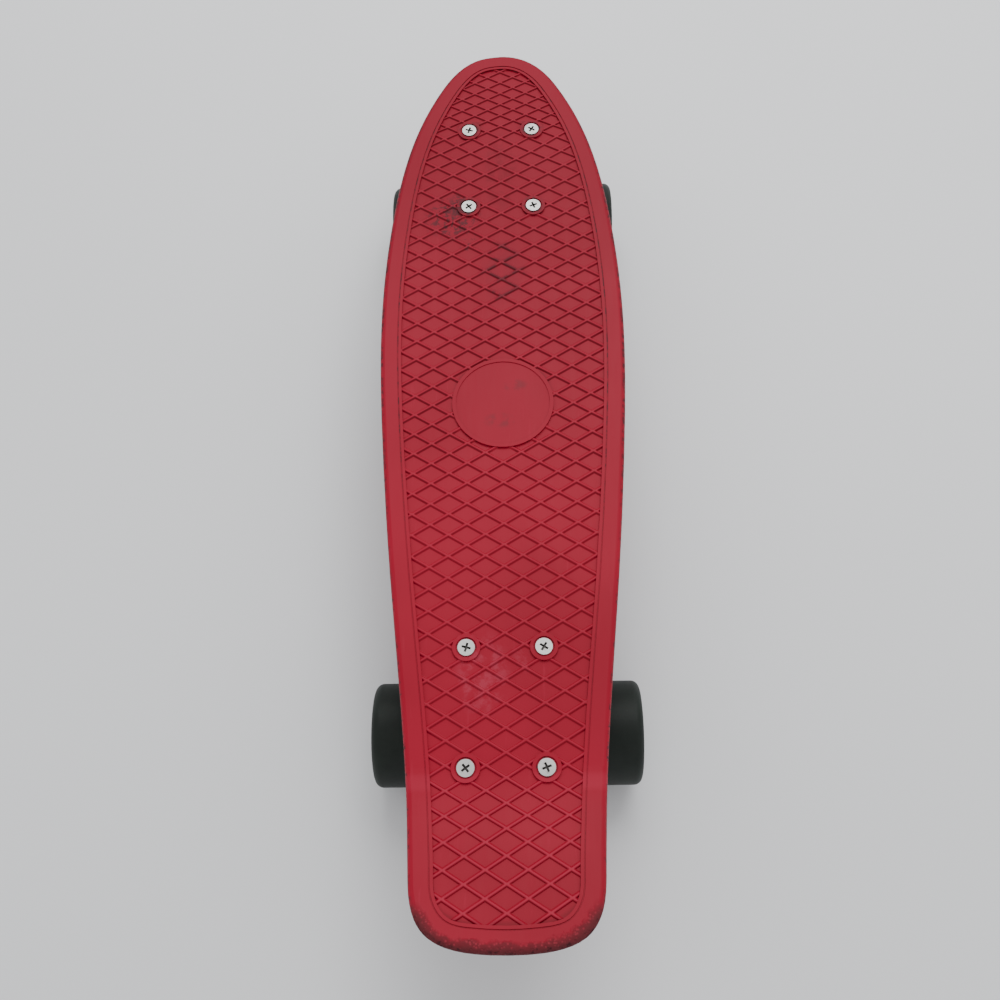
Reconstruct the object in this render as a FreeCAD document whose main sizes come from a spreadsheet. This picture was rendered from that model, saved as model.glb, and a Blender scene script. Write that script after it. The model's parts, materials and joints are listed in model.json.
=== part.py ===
import FreeCAD, Part
import math
import os
import Sketcher

from FreeCAD import Placement, Rotation, Vector

# A small plastic cruiser skateboard. Millimetres, +Z up, +Y towards the nose, +X to the right
# seen from the tail. The origin is on the floor under the middle of the board.

doc = FreeCAD.newDocument("cruiser_skateboard")
sheet = doc.addObject("Spreadsheet::Sheet", "sizes")

driving_sizes = [
    # deck, seen from above and from the side
    ("deck_length", 576.0),
    ("deck_width", 147.6),
    ("deck_thickness", 12.0),
    ("deck_skin", 4.5),
    ("deck_wall", 6.0),
    ("deck_edge_round", 3.0),
    ("kick_start", 89.2),
    ("kick_radius", 96.0),
    ("kick_angle", 14.9),
    ("rim_width", 11.0),
    ("border_width", 1.6),
    ("field_depth", 1.5),
    ("rim_groove_width", 0.8),
    ("rim_groove_depth", 0.5),
    ("rib_thickness", 2.6),
    ("rib_spacing", 38.0),
    ("medallion_diameter", 59.5),
    ("medallion_ring", 2.2),
    ("medallion_sink", 0.5),
    ("medallion_offset", 2.4),
    # where the trucks bolt on
    ("nose_to_truck", 98.6),
    ("wheelbase", 357.0),
    ("hole_spacing_x", 41.3),
    ("hole_spacing_y", 63.5),
    ("bolt_boss_diameter", 15.0),
    ("bolt_dish_depth", 0.8),
    ("bolt_dish_margin", 0.7),
    ("bolt_diameter", 4.8),
    ("bolt_clearance", 0.3),
    ("bolt_head_diameter", 9.2),
    ("bolt_head_height", 2.7),
    ("bolt_length", 26.0),
    ("bolt_recess_span", 5.0),
    ("bolt_recess_width", 1.2),
    ("bolt_recess_depth", 1.7),
    ("edge_chamfer", 0.8),
    ("nut_across", 8.0),
    ("nut_height", 4.0),
    # truck: heights and places are measured from the axle
    ("truck_height", 51.0),
    ("plate_thickness", 6.0),
    ("plate_margin", 9.0),
    ("seat_inboard", 24.0),
    ("seat_height", 2.0),
    ("pivot_outboard", 24.0),
    ("pivot_to_deck", 17.0),
    ("kingpin_lean", 12.0),
    ("kingpin_diameter", 9.5),
    ("kingpin_clearance", 0.15),
    ("kingpin_head_across", 14.0),
    ("kingpin_head_height", 5.0),
    ("kingpin_head_gap", 0.6),
    ("kingpin_tail", 2.0),
    ("kingpin_nut_height", 9.0),
    ("kingpin_boss_diameter", 26.0),
    ("bushing_diameter", 23.0),
    ("barrel_bushing_height", 14.0),
    ("cone_bushing_height", 11.0),
    ("cone_bushing_tip", 17.0),
    ("cup_washer_thickness", 1.5),
    ("cup_washer_lip", 1.0),
    ("cup_washer_play", 0.2),
    ("bushing_room", 2.5),
    ("seat_ring_diameter", 32.0),
    ("seat_ring_thickness", 8.0),
    ("seat_hole_diameter", 15.0),
    ("pivot_nose_diameter", 12.0),
    ("pivot_clearance", 0.15),
    ("pivot_cup_wall", 1.8),
    ("pivot_cup_depth", 11.0),
    ("pivot_cup_open", 4.4),
    ("pivot_housing_wall", 3.0),
    ("hanger_width", 79.4),
    ("hanger_end_diameter", 16.0),
    ("hanger_middle_diameter", 19.0),
    ("hanger_web", 18.0),
    ("web_overlap", 2.0),
    # axle, bearings and wheels
    ("axle_diameter", 8.0),
    ("axle_stub", 0.8),
    ("axle_clearance", 0.02),
    ("axle_nut_across", 13.0),
    ("axle_nut_height", 7.0),
    ("washer_thickness", 1.0),
    ("washer_diameter", 12.0),
    ("bearing_outer", 22.0),
    ("bearing_width", 7.0),
    ("inner_land_diameter", 12.0),
    ("outer_land_diameter", 18.0),
    ("ball_diameter", 3.96),
    ("ball_circle_diameter", 15.0),
    ("ball_clearance", 0.17),
    ("cage_width", 5.0),
    ("cage_wall", 1.2),
    ("shield_thickness", 0.5),
    ("shield_gap", 0.3),
    ("shield_inset", 0.1),
    ("spacer_length", 10.0),
    ("spacer_diameter", 11.0),
    ("wheel_diameter", 58.0),
    ("wheel_width", 44.0),
    ("wheel_lip_diameter", 41.0),
    ("wheel_edge_round", 4.5),
    ("core_diameter", 34.0),
    ("core_width", 26.0),
    ("core_shoulder_diameter", 18.4),
]


class Size:
    """A number that remembers the spreadsheet expression it came from."""

    def __init__(self, value, text):
        self.value = value
        self.text = text

    def combine(self, other, sign, value):
        text = other.text if isinstance(other, Size) else repr(float(other))
        return Size(value, "(" + self.text + " " + sign + " " + text + ")")

    def __add__(self, other):
        return self.combine(other, "+", self.value + number(other))

    def __sub__(self, other):
        return self.combine(other, "-", self.value - number(other))

    def __mul__(self, other):
        return self.combine(other, "*", self.value * number(other))

    def __truediv__(self, other):
        return self.combine(other, "/", self.value / number(other))

    def __neg__(self):
        return self * -1


def number(size):
    return size.value if isinstance(size, Size) else float(size)


class Sizes:
    """Each named size as an attribute."""


size = Sizes()
for row, (alias, default) in enumerate(driving_sizes, start=1):
    sheet.set("A" + str(row), alias)
    sheet.set("B" + str(row), str(default))
    sheet.setAlias("B" + str(row), alias)
    setattr(size, alias, Size(default, "sizes." + alias))
doc.recompute()

# ---- derived places ----

bearing_stack = size.bearing_width * 2 + size.spacer_length
wheel_offset = size.hanger_width / 2 + size.washer_thickness + bearing_stack / 2
axle_half = (size.hanger_width / 2 + size.washer_thickness * 2 + bearing_stack
             + size.axle_nut_height + size.axle_stub)
axle_height = size.wheel_diameter / 2
mount_height = axle_height + size.truck_height
deck_top = mount_height + size.deck_thickness
front_truck_y = size.deck_length / 2 - size.nose_to_truck
rear_truck_y = front_truck_y - size.wheelbase
medallion_y = (front_truck_y + rear_truck_y) / 2 + size.medallion_offset
zero = Size(0, "0")

lean = math.radians(number(size.kingpin_lean))
kingpin_up = Vector(0, math.sin(lean), math.cos(lean))
seat_centre = Vector(0, -number(size.seat_inboard), number(size.seat_height))
pivot_centre = Vector(0, number(size.pivot_outboard), number(size.truck_height - size.pivot_to_deck))
steer_direction = (pivot_centre - seat_centre).normalize()

# ---- building blocks ----


def addSketch(body, plane, points, name):
    """A closed outline of straight lines, each corner tied to the sheet."""
    sketch = body.newObject("Sketcher::SketchObject", name)
    origin = body.Origin.OriginFeatures
    support = [feature for feature in origin if feature.Role == plane][0]
    sketch.AttachmentSupport = [(support, "")]
    sketch.MapMode = "FlatFace"
    corners = [Vector(number(x), number(y), 0) for x, y in points]
    count = len(corners)
    for index in range(count):
        sketch.addGeometry(Part.LineSegment(corners[index], corners[(index + 1) % count]), False)
    for index in range(count):
        sketch.addConstraint(Sketcher.Constraint("Coincident", index, 2, (index + 1) % count, 1))
    for index, (x, y) in enumerate(points):
        for kind, place in (("DistanceX", x), ("DistanceY", y)):
            at = sketch.addConstraint(Sketcher.Constraint(kind, -1, 1, index, 1, number(place)))
            if isinstance(place, Size):
                sketch.setExpression("Constraints[" + str(at) + "]", place.text)
    return sketch


def lathe(name, points):
    """A body turned about its own Z from (radius, height) corners."""
    body = doc.addObject("PartDesign::Body", name)
    sketch = addSketch(body, "XZ_Plane", points, name + "_profile")
    turned = body.newObject("PartDesign::Revolution", name + "_turned")
    turned.Profile = sketch
    turned.ReferenceAxis = (sketch, ["V_Axis"])
    turned.Angle = 360
    sketch.Visibility = False
    return body


def extrude(body, points, length, name, pocket=False):
    """Pad upwards from the body's XY plane, or pocket downwards from it."""
    sketch = addSketch(body, "XY_Plane", points, name + "_outline")
    kind = "PartDesign::Pocket" if pocket else "PartDesign::Pad"
    feature = body.newObject(kind, name)
    feature.Profile = sketch
    feature.Length = number(length)
    feature.setExpression("Length", length.text)
    return feature


def hexagon(across):
    corner = across / math.sqrt(3)
    turns = [math.radians(60 * step) for step in range(6)]
    return [(corner * math.cos(turn), corner * math.sin(turn)) for turn in turns]


def rectangle(length, width):
    return [(-(length / 2), -(width / 2)), (length / 2, -(width / 2)),
            (length / 2, width / 2), (-(length / 2), width / 2)]


def tube(inner, outer, low, high):
    """Corners of a plain ring for the lathe."""
    return [(inner, low), (outer, low), (outer, high), (inner, high)]


def node(name, shape):
    """An exported sub-part that is built from finished shapes."""
    feature = doc.addObject("Part::Feature", name)
    feature.Shape = shape
    return feature


def group(name, template, places):
    """One node that holds several identical solids."""
    return node(name, Part.makeCompound([template.transformed(at.toMatrix()) for at in places]))


def hide(template):
    template.Label = "template_" + template.Name
    return template


def along(origin, direction):
    return Placement(origin, Rotation(Vector(0, 0, 1), direction))


def rod(radius, start, direction, length):
    return Part.makeCylinder(number(radius), number(length), start, direction)


across_x = Rotation(Vector(0, 1, 0), 90)

# ---- deck ----

# Right half of the outline as shares of half the width and half the length: nose tip, the round
# nose, the widest place ahead of the middle, the slim waist of the tail and its blunt end.
outline_shares = [
    (0.000, 1.000), (0.205, 0.990), (0.360, 0.962), (0.546, 0.892), (0.749, 0.766), (0.934, 0.529),
    (1.000, 0.255), (0.955, -0.026), (0.837, -0.363), (0.724, -0.626), (0.667, -0.801),
    (0.650, -0.868), (0.614, -0.932), (0.530, -0.968), (0.380, -0.989), (0.190, -0.998),
]


def outlineCurve(inset):
    """The closed outline, moved inwards by inset along its own normals."""
    half_width = number(size.deck_width) / 2
    half_length = number(size.deck_length) / 2
    right = [Vector(x * half_width, y * half_length, 0) for x, y in outline_shares]
    left = [Vector(-point.x, point.y, 0) for point in reversed(right[1:])]
    curve = Part.BSplineCurve()
    curve.interpolate(right + [Vector(0, -half_length, 0)] + left, PeriodicFlag=True)
    if not inset:
        return curve
    steps = 72
    moved = []
    for step in range(steps):
        at = curve.FirstParameter + (curve.LastParameter - curve.FirstParameter) * step / steps
        tangent = curve.tangent(at)[0]
        moved.append(curve.value(at) + Vector(tangent.y, -tangent.x, 0) * inset)
    inner = Part.BSplineCurve()
    inner.interpolate(moved, PeriodicFlag=True)
    return inner


def outlineBlock(inset):
    """A tall block whose walls follow the inset outline."""
    face = Part.Face(Part.Wire([outlineCurve(inset).toShape()]))
    return face.extrude(Vector(0, 0, number(deck_top) * 2))


def bentSlab(top, bottom):
    """A wide slab between two depths under the riding surface, flat and then kicked up."""
    level = number(deck_top)
    turn = math.radians(number(size.kick_angle))
    radius = number(size.kick_radius)
    bend = -number(size.deck_length) / 2 + number(size.kick_start)
    centre = Vector(0, bend, level + radius)
    reach = number(size.deck_length)

    def arcPoint(angle, depth):
        return centre + Vector(0, -math.sin(angle), -math.cos(angle)) * (radius + depth)

    tail = Vector(0, -math.cos(turn), math.sin(turn)) * reach
    upper = [arcPoint(0, top), arcPoint(turn / 2, top), arcPoint(turn, top)]
    lower = [arcPoint(0, bottom), arcPoint(turn / 2, bottom), arcPoint(turn, bottom)]
    ahead_top = upper[0] + Vector(0, reach, 0)
    ahead_bottom = lower[0] + Vector(0, reach, 0)
    edges = [
        Part.makeLine(ahead_top, upper[0]),
        Part.Arc(*upper).toShape(),
        Part.makeLine(upper[2], upper[2] + tail),
        Part.makeLine(upper[2] + tail, lower[2] + tail),
        Part.makeLine(lower[2] + tail, lower[2]),
        Part.Arc(*reversed(lower)).toShape(),
        Part.makeLine(lower[0], ahead_bottom),
        Part.makeLine(ahead_bottom, ahead_top),
    ]
    width = number(size.deck_width) * 2
    face = Part.Face(Part.Wire(edges))
    face.translate(Vector(-width / 2, 0, 0))
    return face.extrude(Vector(width, 0, 0))


def boltPlaces():
    """The eight deck bolts, seen from above."""
    places = {}
    for end, y in (("front", front_truck_y), ("rear", rear_truck_y)):
        places[end] = [Vector(sx * number(size.hole_spacing_x) / 2,
                              number(y) + sy * number(size.hole_spacing_y) / 2, number(deck_top))
                       for sx in (-1, 1) for sy in (-1, 1)]
    return places


def upright(radius, point, low, high):
    """A vertical cylinder through point between two depths under the riding surface."""
    start = Vector(point.x, point.y, number(deck_top) - high)
    return Part.makeCylinder(radius, high - low, start)


def makeDeck():
    """The moulded deck: bent shell, rounded rim, hollow ribbed underside and recessed field."""
    thickness = number(size.deck_thickness)
    field = number(size.field_depth)
    spill = number(size.deck_skin)
    deck = bentSlab(0, thickness).common(outlineBlock(0))
    rim_edges = [edge for edge in deck.Edges if edge.BoundBox.YLength > thickness]
    deck = deck.makeFillet(number(size.deck_edge_round), rim_edges)

    ring = outlineBlock(number(size.rim_width))
    inner = outlineBlock(number(size.rim_width + size.border_width))
    recess = bentSlab(-spill, field).common(inner)
    around_ring = outlineBlock(number(size.rim_width - size.rim_groove_width)).cut(ring)
    groove = bentSlab(-spill, number(size.rim_groove_depth)).common(around_ring)
    middle = Vector(0, number(medallion_y), 0)
    outer = number(size.medallion_diameter) / 2
    boss = number(size.bolt_boss_diameter) / 2
    bolt_points = [point for points in boltPlaces().values() for point in points]
    bosses = [upright(boss, point, -spill, field) for point in bolt_points]
    recess = recess.cut(bosses + [upright(outer, middle, -spill, field)])
    sink = upright(outer - number(size.medallion_ring), middle, -spill, number(size.medallion_sink))

    cavity = bentSlab(number(size.deck_skin), thickness + spill)
    cavity = cavity.common(outlineBlock(number(size.deck_wall)))
    cavity = cavity.cut(stiffeners())

    holes = []
    head = number(size.bolt_head_diameter) / 2 + number(size.bolt_clearance)
    shank = number(size.bolt_diameter) / 2 + number(size.bolt_clearance)
    dish = head + number(size.bolt_dish_margin)
    head_height = number(size.bolt_head_height)
    for point in bolt_points:
        holes.append(upright(shank, point, -spill, thickness + spill))
        below = point - Vector(0, 0, head_height)
        holes.append(Part.makeCone(shank, head, head_height, below))
        holes.append(upright(head, point, -spill, 0))
        holes.append(upright(dish, point, -spill, number(size.bolt_dish_depth)))
    return deck.cut([recess, groove, sink, cavity] + holes)


def stiffeners():
    """Moulded ribs under the skin and the solid pads that the trucks bolt to."""
    reach = number(size.deck_length)
    width = number(size.deck_width)
    half = number(size.rib_thickness) / 2
    spacing = number(size.rib_spacing)
    tall = number(deck_top) * 2
    ribs = [Part.makeBox(half * 2, reach, tall, Vector(place * spacing / 2 - half, -reach / 2, 0))
            for place in (-1, 0, 1)]
    count = int(reach / 2 / spacing)
    for step in range(-count, count + 1):
        ribs.append(Part.makeBox(width, half * 2, tall, Vector(-width / 2, step * spacing - half, 0)))
    pad_x = number(size.hole_spacing_x) + number(size.plate_margin) * 2
    pad_y = number(size.hole_spacing_y) + number(size.plate_margin) * 2
    for y in (front_truck_y, rear_truck_y):
        ribs.append(Part.makeBox(pad_x, pad_y, tall, Vector(-pad_x / 2, number(y) - pad_y / 2, 0)))
    return ribs


node("deck", makeDeck())

# ---- fasteners of the deck ----

bolt_radius = size.bolt_diameter / 2
bolt_template = lathe("bolt", [
    (zero, -size.bolt_length), (bolt_radius, -size.bolt_length),
    (bolt_radius, -size.bolt_head_height), (size.bolt_head_diameter / 2, zero),
    (zero, zero),
])
for turn, (length, width) in enumerate([(size.bolt_recess_span, size.bolt_recess_width),
                                        (size.bolt_recess_width, size.bolt_recess_span)]):
    extrude(bolt_template, rectangle(length, width), size.bolt_recess_depth,
            "cross_recess_" + str(turn), pocket=True)
hide(bolt_template)
cross_turn = 37     # degrees between the cross recesses of neighbouring bolts, as if driven by hand

nut_bore = size.bolt_diameter / 2 + size.axle_clearance


def nutBody(name, across, height, bore):
    """A hexagonal nut that stands on its own XY plane, with turned corners and a plain bore."""
    body = doc.addObject("PartDesign::Body", name)
    extrude(body, hexagon(across), height, name + "_block")
    sketch = body.newObject("Sketcher::SketchObject", name + "_bore_circle")
    support = [feature for feature in body.Origin.OriginFeatures if feature.Role == "XY_Plane"][0]
    sketch.AttachmentSupport = [(support, "")]
    sketch.MapMode = "FlatFace"
    sketch.addGeometry(Part.Circle(Vector(0, 0, 0), Vector(0, 0, 1), number(bore)), False)
    sketch.addConstraint(Sketcher.Constraint("Coincident", 0, 3, -1, 1))
    at = sketch.addConstraint(Sketcher.Constraint("Radius", 0, number(bore)))
    sketch.setExpression("Constraints[" + str(at) + "]", bore.text)
    hole = body.newObject("PartDesign::Pocket", name + "_bore")
    hole.Profile = sketch
    hole.Type = "ThroughAll"
    hole.Reversed = True
    return body


nut_template = hide(nutBody("nut", size.nut_across, size.nut_height, nut_bore))
axle_nut_template = hide(nutBody("axle_nut", size.axle_nut_across, size.axle_nut_height,
                                 size.axle_diameter / 2 + size.axle_clearance))

# ---- shared turned pieces ----

axle_bore = size.axle_diameter / 2 + size.axle_clearance
ball_circle = size.ball_circle_diameter / 2
ball_radius = size.ball_diameter / 2
race_depth = ball_radius + size.ball_clearance
half_bearing = size.bearing_width / 2
groove_edge = ball_radius * 1.1     # the race grooves reach a little past the ball
groove_floor = ball_radius * 0.6

outer_ring_template = hide(lathe("outer_ring", [
    (size.bearing_outer / 2, -half_bearing), (size.bearing_outer / 2, half_bearing),
    (size.outer_land_diameter / 2, half_bearing), (size.outer_land_diameter / 2, groove_edge),
    (ball_circle + race_depth, groove_floor), (ball_circle + race_depth, -groove_floor),
    (size.outer_land_diameter / 2, -groove_edge), (size.outer_land_diameter / 2, -half_bearing),
]))
inner_ring_template = hide(lathe("inner_ring", [
    (axle_bore, -half_bearing), (size.inner_land_diameter / 2, -half_bearing),
    (size.inner_land_diameter / 2, -groove_edge), (ball_circle - race_depth, -groove_floor),
    (ball_circle - race_depth, groove_floor), (size.inner_land_diameter / 2, groove_edge),
    (size.inner_land_diameter / 2, half_bearing), (axle_bore, half_bearing),
]))
shield_template = hide(lathe("shield", tube(
    size.inner_land_diameter / 2 + size.shield_gap, size.outer_land_diameter / 2,
    half_bearing - size.shield_thickness - size.shield_inset, half_bearing - size.shield_inset)))
cage_ring = hide(lathe("cage_ring", tube(
    ball_circle - size.cage_wall / 2, ball_circle + size.cage_wall / 2,
    -(size.cage_width / 2), size.cage_width / 2)))
spacer_template = hide(lathe("spacer", tube(
    axle_bore, size.spacer_diameter / 2, -(size.spacer_length / 2), size.spacer_length / 2)))
washer_template = hide(lathe("washer", tube(
    axle_bore, size.washer_diameter / 2, zero, size.washer_thickness)))
doc.recompute()

ball_count = 7


def ballPlaces():
    radius = number(ball_circle)
    turns = [2 * math.pi * step / ball_count for step in range(ball_count)]
    return [Vector(radius * math.cos(turn), radius * math.sin(turn), 0) for turn in turns]


balls_shape = Part.makeCompound([Part.makeSphere(number(ball_radius), at) for at in ballPlaces()])
pockets = [rod(race_depth, at * 0.5, Vector(at).normalize(), ball_circle) for at in ballPlaces()]
cage_shape = cage_ring.Shape.cut(pockets)

# ---- trucks ----


def truckPlace(end):
    """The frame at the middle of the axle, with local +Y pointing away from the board's middle."""
    y = number(front_truck_y if end == "front" else rear_truck_y)
    turn = 0 if end == "front" else 180
    return Placement(Vector(0, y, number(axle_height)), Rotation(Vector(0, 0, 1), turn))


def makeBaseplate():
    """Plate, leaning kingpin boss and pivot housing, in the truck's own frame."""
    top = number(size.truck_height)
    thick = number(size.plate_thickness)
    plate_x = number(size.hole_spacing_x) + number(size.plate_margin) * 2
    plate_y = number(size.hole_spacing_y) + number(size.plate_margin) * 2
    plate = Part.makeBox(plate_x, plate_y, thick, Vector(-plate_x / 2, -plate_y / 2, top - thick))
    corners = [edge for edge in plate.Edges if edge.BoundBox.ZLength > thick / 2]
    plate = plate.makeFillet(number(size.plate_margin - size.edge_chamfer), corners)

    boss_start = seat_centre + kingpin_up * bossOffset()
    boss = rod(size.kingpin_boss_diameter / 2, boss_start, kingpin_up, top)
    cup_outer = number(size.pivot_nose_diameter) / 2 + number(size.pivot_clearance)
    cup_outer += number(size.pivot_cup_wall)
    housing_radius = cup_outer + number(size.pivot_housing_wall)
    depth = number(size.pivot_cup_depth)
    mouth = pivot_centre - steer_direction * number(size.pivot_cup_open)
    housing = rod(housing_radius, mouth, steer_direction, depth * 2)
    height = pivot_centre.z
    brace_start = number(size.pivot_outboard) - cup_outer
    brace = Part.makeBox(housing_radius * 2, plate_y / 2 - brace_start, top - height,
                         Vector(-housing_radius, brace_start, height))
    limit = Part.makeBox(plate_x, plate_y, top * 2, Vector(-plate_x / 2, -plate_y / 2, -top))
    body = plate.fuse([boss, housing, brace]).common(limit)

    reach = number(size.seat_inboard)
    room = rod(housing_radius + number(size.pivot_housing_wall), mouth - steer_direction * reach,
               steer_direction, reach)
    bore = rod(cup_outer + number(size.axle_clearance), mouth, steer_direction, depth)
    shank_radius = number(size.kingpin_diameter) / 2 + number(size.kingpin_clearance)
    shank = rod(shank_radius, seat_centre, kingpin_up, top * 2)
    head_start = kingpinHeadBase()
    corner = number(size.kingpin_head_across) / math.sqrt(3)
    head_room = rod(corner + number(size.kingpin_head_gap), head_start, kingpin_up, top)
    bolts = [Part.makeCylinder(number(size.bolt_diameter / 2 + size.bolt_clearance), thick * 3,
                               Vector(sx * number(size.hole_spacing_x) / 2,
                                      sy * number(size.hole_spacing_y) / 2, top - thick * 2))
             for sx in (-1, 1) for sy in (-1, 1)]
    body = body.cut([room, bore, shank, head_room] + bolts)
    return body.removeSplitter()


def bossOffset():
    """Distance along the kingpin from the seat ring's middle to the baseplate's boss."""
    return number(size.seat_ring_thickness) / 2 + number(size.barrel_bushing_height) + number(
        size.cup_washer_thickness)


def kingpinHeadBase():
    """The underside of the kingpin's head, sunk so that the tilted head stays under the deck."""
    sunk = (number(size.kingpin_head_height + size.kingpin_head_gap)
            + number(size.kingpin_head_across) / 2 * math.tan(lean))
    rise = (number(size.truck_height) - sunk - seat_centre.z) / math.cos(lean)
    return seat_centre + kingpin_up * rise


def makeHanger():
    """Seat ring, pivot nose, web and axle barrel, in the truck's own frame."""
    half = number(size.hanger_width) / 2
    end = number(size.hanger_end_diameter) / 2
    middle = number(size.hanger_middle_diameter) / 2
    left = Part.makeCone(end, middle, half, Vector(-half, 0, 0), Vector(1, 0, 0))
    right = Part.makeCone(middle, end, half, Vector(0, 0, 0), Vector(1, 0, 0))

    thick = number(size.seat_ring_thickness)
    ring_radius = number(size.seat_ring_diameter) / 2
    ring_start = seat_centre - kingpin_up * (thick / 2)
    ring = rod(ring_radius, ring_start, kingpin_up, thick)

    nose_radius = number(size.pivot_nose_diameter) / 2
    mouth_gap = number(size.pivot_cup_open)
    neck = pivot_centre - steer_direction * (mouth_gap + nose_radius)
    nose = rod(nose_radius, neck, steer_direction, mouth_gap + nose_radius)
    tip = Part.makeSphere(nose_radius, pivot_centre)

    side = Vector(0, steer_direction.z, -steer_direction.y)
    overlap = number(size.web_overlap)
    ring_edge = seat_centre + Vector(0, kingpin_up.z, -kingpin_up.y) * (ring_radius - overlap)
    web_half = number(size.hanger_web) / 2
    corners = [
        ring_edge - kingpin_up * (thick / 2),
        Vector(0, middle * 0.5, -middle * 0.8),
        Vector(0, middle * 0.95, 0),
        neck + side * nose_radius,
        neck + steer_direction * overlap + side * (nose_radius * 0.9),
        neck + steer_direction * overlap - side * (nose_radius * 0.9),
        neck - side * nose_radius,
        ring_edge + kingpin_up * (thick / 2),
    ]
    web_face = Part.Face(Part.makePolygon(corners + [corners[0]]))
    web_face.translate(Vector(-web_half, 0, 0))
    web = web_face.extrude(Vector(web_half * 2, 0, 0))

    clear = number(size.bushing_diameter) / 2 + number(size.bushing_room)
    reach = number(size.truck_height)
    above = rod(clear, seat_centre + kingpin_up * (thick / 2), kingpin_up, reach)
    below = rod(clear, seat_centre - kingpin_up * (thick / 2), kingpin_up * -1, reach)
    hole = rod(number(size.seat_hole_diameter) / 2, ring_start, kingpin_up, thick)
    bore = rod(axle_bore, Vector(-half, 0, 0), Vector(1, 0, 0), half * 2)
    body = left.fuse([right, ring, web, nose, tip])
    return body.cut([above, below, hole, bore]).removeSplitter()


def bushing(name, height, base, tip, direction):
    """A urethane ring: full at the seat and tip-sized at its far end."""
    bevel = size.edge_chamfer
    inner = size.kingpin_diameter / 2 + size.kingpin_clearance
    body = lathe(name, [
        (inner, zero), (base / 2 - bevel, zero), (base / 2, zero + bevel),
        (tip / 2, height - bevel), (tip / 2 - bevel, height), (inner, height),
    ])
    start = seat_centre + direction * (number(size.seat_ring_thickness) / 2)
    body.Placement = along(start, direction)
    return body


def cupWasher(name, face, around, direction):
    """A washer whose lip holds the bushing's end; face is its distance from the seat ring's middle."""
    thick = size.cup_washer_thickness
    inner = size.kingpin_diameter / 2 + size.kingpin_clearance
    crown = thick * 0.4
    lip_inner = around / 2 + size.cup_washer_play
    lip_outer = lip_inner + size.cup_washer_lip
    body = lathe(name, [
        (inner, zero), (lip_inner, zero), (lip_inner, -size.cup_washer_lip),
        (lip_outer, -size.cup_washer_lip), (lip_outer, thick - crown), (lip_outer - crown, thick),
        (inner, thick),
    ])
    body.Placement = along(seat_centre + direction * face, direction)
    return body


def place(body, end):
    body.Placement = truckPlace(end).multiply(body.Placement)
    return body


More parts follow.
